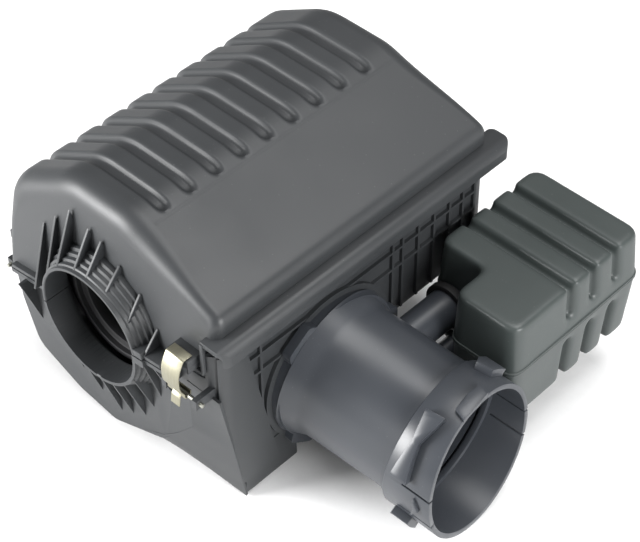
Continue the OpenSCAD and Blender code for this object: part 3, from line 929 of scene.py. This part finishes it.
# Raised shapes on the cuff: each is an outline of (degrees from the top, mm along), and a height
HOURGLASS = [
    (25, -14),
    (35, -12),
    (46, -10),
    (60, -12),
    (73, -14),
    (74, -1),
    (60, -3),
    (46, -5),
    (35, -2),
    (24, 0),
]
CUFF_SHAPES = (
    (HOURGLASS, 5),
    ([(-12, 1), (1, 0), (15, 1), (18, 10), (2, 10.5), (-9, 9.5)], 2.6),
    ([(-44, -14), (-34, -15), (-26, -12), (-28, 0), (-44, 2)], 5),
    ([(112, -9), (124, -13), (136, -9), (134, 4), (114, 4)], 5),
    ([(84, 5), (93, 7), (102, 5), (93, 11)], 2),
    ([(258, 4), (264, 4), (264, 12), (258, 12)], 2),
)


def on_cuff(angle, along, radius):
    """A point of the cuff, from degrees round it, and millimetres along and out from its axis."""
    turn = math.radians(angle)
    out = INLET_UP * math.cos(turn) - INLET_SIDE * math.sin(turn)
    return INLET_PLACE + (INLET_AXIS * along + out * radius) * MM


def cuff_solid(name, outline, inner, outer):
    """A solid whose outline is bent round the cuff between two radii."""
    fine = []
    for (a0, x0), (a1, x1) in zip(outline, outline[1:] + outline[:1]):
        steps = max(1, math.ceil(abs(a1 - a0) / 3))
        fine += [
            (a0 + (a1 - a0) * k / steps, x0 + (x1 - x0) * k / steps, inner) for k in range(steps)
        ]
    obj = prism(name, fine, (0, 0, outer - inner))
    for vertex in obj.data.vertices:
        vertex.co = on_cuff(*vertex.co)
    face_out(obj)
    return obj


def cuff_piece():
    """The slotted cuff: a turned sleeve with a slanted lip, four slits and raised shapes."""
    sleeve = turned("sleeve", in_mm(CUFF_SECTION), INLET_PLACE, INLET_AXIS, steps=128)
    slant = math.radians(LIP_SLANT)
    normal = INLET_AXIS * math.cos(slant) + INLET_UP * math.sin(slant)
    beyond = prism(
        "beyond", in_mm([(-90, -90, 0), (90, -90, 0), (90, 90, 0), (-90, 90, 0)]), (0, 0, 60 * MM)
    )
    lip = Matrix.Translation(INLET_PLACE + INLET_AXIS * LIP_AT * MM)
    beyond.data.transform(lip @ facing(normal))
    cut(sleeve, beyond)
    for angle in SLITS:
        low, high = angle - SLIT_HALF, angle + SLIT_HALF
        outline = [(low, -6), (high, -6), (high, 40), (low, 40)]
        cut(sleeve, cuff_solid("slit", outline, 48, 62))
    soften(sleeve, 0.35 * MM)
    pieces = [sleeve]
    for outline, height in CUFF_SHAPES:
        shape = cuff_solid("shape", outline, 54.2, 56 + height)
        soften(shape, 0.35 * MM)
        pieces.append(shape)
    return join("duct_cuff", pieces)


class HOUSING_OT_duct(bpy.types.Operator):
    """Build the inlet duct, its cuff and the neck to the resonator"""

    bl_idname = "housing.duct"
    bl_label = "Inlet duct"

    def execute(self, context):
        finish_piece(cuff_piece(), "case", DUCTS, "inlet_cuff")
        for node, name in (("inlet_duct", "duct_barrel"), ("resonator_neck", "neck_tube")):
            finish_piece(from_cad(node, name, 0), "case", DUCTS, node)
        return {"FINISHED"}


# ---- Resonator ----

SEAM_Z = RES_LOW.z
LOBE_Y = [243 * MM + k * 25 * MM for k in range(3)]
RES_MIDDLE = Vector((166 * MM, 252 * MM, SEAM_Z))
# How much the plan shrinks at DRAFT_HEIGHT from the seam
DRAFT, DRAFT_HEIGHT = 0.055, 50 * MM
# How far the welding beads stand out, and how high each is
BEAD_OUT = 1.0 * MM
BEAD_LOW, BEAD_HIGH = 0.1 * MM, 1.5 * MM


def resonator_body():
    """The closed resonator: its plan drawn up, slotted between the lobes, and its skin relaxed."""
    left, step_x, right = RES_LOW.x + 2.6 * MM, 158 * MM, 215.5 * MM
    front, step_y, back = 181.5 * MM, 214.5 * MM, 321.5 * MM
    plan = rounded_path(
        [
            (left, 260 * MM, 0),
            (left, step_y, 8 * MM),
            (step_x, step_y, 5 * MM),
            (step_x, front, 9 * MM),
            (right, front, 9 * MM),
            (right, back, 10 * MM),
            (left, back, 10 * MM),
        ],
        2 * MM,
    )
    height = RES_HIGH.z - RES_FLOOR
    body = prism("resonator", [(p.x, p.y, RES_FLOOR) for p in plan], (0, 0, height))
    top, floor = RES_HIGH.z / MM, RES_FLOOR / MM
    seam = SEAM_Z / MM
    for y in (place / MM for place in LOBE_Y):
        for low, high in (
            ((100, y - 3.2, top - 8), (240, y + 3.2, top + 5)),
            ((208.5, y - 3.2, seam + 11), (240, y + 3.2, top + 5)),
            ((100, y - 3.6, floor - 5), (240, y + 3.6, floor + 10)),
            ((207.5, y - 3.6, floor - 5), (240, y + 3.6, seam - 10)),
        ):
            cut(body, block("slot", low, high, 0.2 * MM))
    apply_modifier(body, "REMESH", mode="VOXEL", voxel_size=1.5 * MM, adaptivity=0.0)
    apply_modifier(body, "SMOOTH", factor=0.5, iterations=36)
    for vertex in body.data.vertices:
        away = abs(vertex.co.z - RES_MIDDLE.z)
        draw = 1 - DRAFT * away / DRAFT_HEIGHT
        vertex.co.x = RES_MIDDLE.x + (vertex.co.x - RES_MIDDLE.x) * draw
        vertex.co.y = RES_MIDDLE.y + (vertex.co.y - RES_MIDDLE.y) * draw
    return body


def trim(obj, height, keep_above):
    """Cuts a solid level at a height, and keeps one side of it, closed."""
    edit_all(obj)
    bpy.ops.mesh.bisect(
        plane_co=(0, 0, height),
        plane_no=(0, 0, 1),
        use_fill=True,
        clear_inner=keep_above,
        clear_outer=not keep_above,
    )
    bpy.ops.object.mode_set(mode="OBJECT")


def half_of(body, name, keep_above):
    """A copy of the closed body, cut at the seam."""
    half = copy_of(body, name)
    trim(half, SEAM_Z, keep_above)
    smooth(half, 50)
    return half


def weld_bead(body, low, high):
    """A thin band that stands out beside the seam."""
    band = copy_of(body, "bead")
    trim(band, low, True)
    trim(band, high, False)
    for vertex in band.data.vertices:
        out = Vector((vertex.co.x - RES_MIDDLE.x, vertex.co.y - RES_MIDDLE.y, 0))
        vertex.co += out.normalized() * BEAD_OUT
    soften(band, 0.3 * MM)
    return band


class HOUSING_OT_resonator(bpy.types.Operator):
    """Build the two welded halves of the ribbed resonator"""

    bl_idname = "housing.resonator"
    bl_label = "Resonator"

    def execute(self, context):
        body = resonator_body()
        upper = half_of(body, "resonator_top", True)
        lower = half_of(body, "resonator_bottom", False)
        bead_up = weld_bead(body, SEAM_Z + BEAD_LOW, SEAM_Z + BEAD_HIGH)
        bead_low = weld_bead(body, SEAM_Z - BEAD_HIGH, SEAM_Z - BEAD_LOW)
        lug = block("bolt lug", (142.2, 199.2, -67.8), (159, 202.4, -52.2), 0.6 * MM)
        bpy.data.objects.remove(body)
        upper = join("resonator_top", [upper, bead_up])
        lower = join("resonator_bottom", [lower, bead_low, lug])
        finish_piece(upper, "case", RESONATOR, "resonator_upper")
        finish_piece(lower, "case", RESONATOR, "resonator_lower")
        return {"FINISHED"}


# ---- Clips, pins, element and small parts ----

# CAD nodes that are copied as they are: the body of each, and its edge radius in millimetres
SMALL_PARTS = {
    "front_clip_pin": ("case", 0.3),
    "side_clip_pin": ("case", 0.3),
    "hinge_bars": ("case", 0.3),
    "mount_grommets": ("case", 0.6),
    "mount_sleeves": ("case", 0.3),
    "neck_grommet": ("case", 0.5),
    "resonator_bolt": ("case", 0.3),
    "duct_seal_ring": ("case", 0.3),
    "cover_gasket": ("case", 0.25),
    "filter_front_cap": ("element", 0.8),
    "filter_rear_cap": ("element", 0.8),
    "filter_core": ("element", 0.15),
    "filter_pleats": ("element", 0.0),
    "pleat_bands": ("element", 0.3),
}


def strip(name, path, thickness, low, high):
    """Bends a strip of sheet metal along a (y, z) path, from low to high in x."""
    sides = ([], [])
    for point, normal in zip(path, normals_of(path)):
        sides[0].append(point + normal * thickness / 2)
        sides[1].insert(0, point - normal * thickness / 2)
    outline = [(low, p.x, p.y) for p in sides[0] + sides[1]]
    obj = prism(name, outline, (high - low, 0, 0))
    soften(obj, 0.25 * MM)
    return obj


# The clip from its cap over the catch, down its bow and round the pin: outward, up and radius
CLIP_LINE = [
    (6, 32.6, 0),
    (-1.6, 32.8, 1.8),
    (-7.2, 22, 22),
    (-6.4, 8, 16),
    (-2.6, 2.4, 2.5),
    (-2.6, -2.4, 2.2),
    (2.6, -2.4, 2.2),
    (2.6, 2.6, 0),
]
CLIP_TAB = [(-2.4, 0.5, 0), (-4.2, -2.5, 3), (-5.2, -9.5, 0)]
# Left and right edges of the sheet and of its finger tab, from the middle of the pin
CLIP_EDGES = (-11 * MM, 5 * MM)
TAB_EDGES = (-6 * MM, 2 * MM)
CLIP_SHEET = 0.9 * MM
CLIP_STEP = 0.8 * MM


def spring_clip(name, joint, turn):
    """One bowed spring clip with its finger tab, placed at its pin."""
    line = rounded_path(in_mm(CLIP_LINE), CLIP_STEP)
    tab = rounded_path(in_mm(CLIP_TAB), CLIP_STEP)
    sheet = strip("sheet", line, CLIP_SHEET, *CLIP_EDGES)
    finger = strip("finger", tab, CLIP_SHEET, *TAB_EDGES)
    clip = join(name, [sheet, finger])
    place = Matrix.Translation(frame_joint(joint)["pos_m"])
    clip.data.transform(place @ Matrix.Rotation(math.radians(turn), 4, "Z"))
    return clip


class HOUSING_OT_clips(bpy.types.Operator):
    """Build the two spring clips"""

    bl_idname = "housing.clips"
    bl_label = "Spring clips"

    def execute(self, context):
        # The side clip is the same zinc steel clip as the front one; its dark charcoal shell finish is painted
        # shade, for a clip seen in shadow on the left wall
        for node, turn, slot in (
            ("front_clip", 0, "zinc_spring_steel"),
            ("side_clip", -90, SHELLS),
        ):
            clip = spring_clip(node + "_sheet", node + "_swing", turn)
            finish_piece(clip, node, slot, node)
        return {"FINISHED"}


class HOUSING_OT_small_parts(bpy.types.Operator):
    """Build the pins, seals, mounting hardware and filter element"""

    bl_idname = "housing.small_parts"
    bl_label = "Small parts and element"

    def execute(self, context):
        slots = {part["node"]: part["material_slot"] for part in frame["record"]["subparts"]}
        for node, (body, radius) in SMALL_PARTS.items():
            piece = from_cad(node, node + "_part", radius * MM)
            finish_piece(piece, body, slots[node], node)
        return {"FINISHED"}


# ---- Stage ----

CAMERA_PLACE = (0.7313, -0.5339, 0.9566)
CAMERA_AZIMUTH = 44.1
CAMERA_ELEVATION = 45.4
CAMERA_ROLL = 0.47
FLOOR_SIZE = 12
FLOOR_GAP = 0.5 * MM
# Each soft light: its place from the middle of the housing, its size in metres and its power
LIGHTS = {
    "key": ((-1.2, -1.7, 0.55), 1.0, 92),
    "side": ((1.9, -0.15, 0.7), 1.0, 48),
    "top": ((0.2, 0.5, 2.0), 1.2, 30),
}


def area_light(name, place, target, size, power):
    """A soft square light that faces a target."""
    data = bpy.data.lights.new(name, "AREA")
    data.size = size
    data.energy = power
    lamp = bpy.data.objects.new(name, data)
    lamp.location = place
    lamp.rotation_euler = (Vector(target) - Vector(place)).to_track_quat("-Z", "Y").to_euler()
    bpy.context.collection.objects.link(lamp)


class HOUSING_OT_stage(bpy.types.Operator):
    """Set the floor, the soft lights and the camera"""

    bl_idname = "housing.stage"
    bl_label = "Stage"

    def execute(self, context):
        look = context.scene.housing_stage
        low, high = cad_box
        bpy.ops.object.select_all(action="DESELECT")
        bpy.ops.mesh.primitive_plane_add(size=FLOOR_SIZE, location=(0, 0, low[2] - FLOOR_GAP))
        floor = context.object
        floor.name = "studio_floor"
        floor.data.materials.append(studio_floor())
        middle = (Vector(low) + Vector(high)) / 2
        for name, (offset, size, power) in LIGHTS.items():
            area_light(name, middle + Vector(offset), middle, size, power)
        world = bpy.data.worlds.new("studio")
        world.use_nodes = True
        background = world.node_tree.nodes["Background"]
        background.inputs["Color"].default_value = linear(look.backdrop)
        background.inputs["Strength"].default_value = look.ambient
        context.scene.world = world
        context.scene.view_settings.view_transform = "Standard"
        data = bpy.data.cameras.new("camera")
        data.sensor_width = 36
        data.lens = look.lens
        data.clip_end = 20
        camera = bpy.data.objects.new("camera", data)
        turn = Matrix.Rotation(math.radians(CAMERA_AZIMUTH), 4, "Z")
        lift = Matrix.Rotation(math.radians(90 - CAMERA_ELEVATION), 4, "X")
        roll = Matrix.Rotation(math.radians(-CAMERA_ROLL), 4, "Z")
        camera.matrix_world = Matrix.Translation(CAMERA_PLACE) @ turn @ lift @ roll
        context.collection.objects.link(camera)
        context.scene.camera = camera
        return {"FINISHED"}


class HOUSING_PT_panel(bpy.types.Panel):
    """Sizes and steps of the air filter housing"""

    bl_label = "Air filter housing"
    bl_idname = "HOUSING_PT_panel"
    bl_space_type = "VIEW_3D"
    bl_region_type = "UI"
    bl_category = "Housing"

    def draw(self, context):
        for group in (context.scene.housing_cover, context.scene.housing_stage):
            for key in group.__annotations__:
                self.layout.prop(group, key)
        for operator in OPERATORS:
            self.layout.operator(operator.bl_idname)


OPERATORS = (
    HOUSING_OT_stage,
    HOUSING_OT_cover,
    HOUSING_OT_case,
    HOUSING_OT_duct,
    HOUSING_OT_resonator,
    HOUSING_OT_clips,
    HOUSING_OT_small_parts,
)
CLASSES = (HousingCoverSizes, HousingStageLook, *OPERATORS, HOUSING_PT_panel)


def register():
    """Registers the classes and the sizes."""
    for cls in CLASSES:
        bpy.utils.register_class(cls)
    bpy.types.Scene.housing_cover = PointerProperty(type=HousingCoverSizes)
    bpy.types.Scene.housing_stage = PointerProperty(type=HousingStageLook)


def unregister():
    """Takes the classes and the sizes away again."""
    del bpy.types.Scene.housing_stage
    del bpy.types.Scene.housing_cover
    for cls in reversed(CLASSES):
        bpy.utils.unregister_class(cls)


def main():
    """Builds every piece."""
    register()
    bpy.ops.housing.stage()
    bpy.ops.housing.cover()
    bpy.ops.housing.case()
    bpy.ops.housing.duct()
    bpy.ops.housing.resonator()
    bpy.ops.housing.clips()
    bpy.ops.housing.small_parts()


if __name__ == "__main__":
    main()
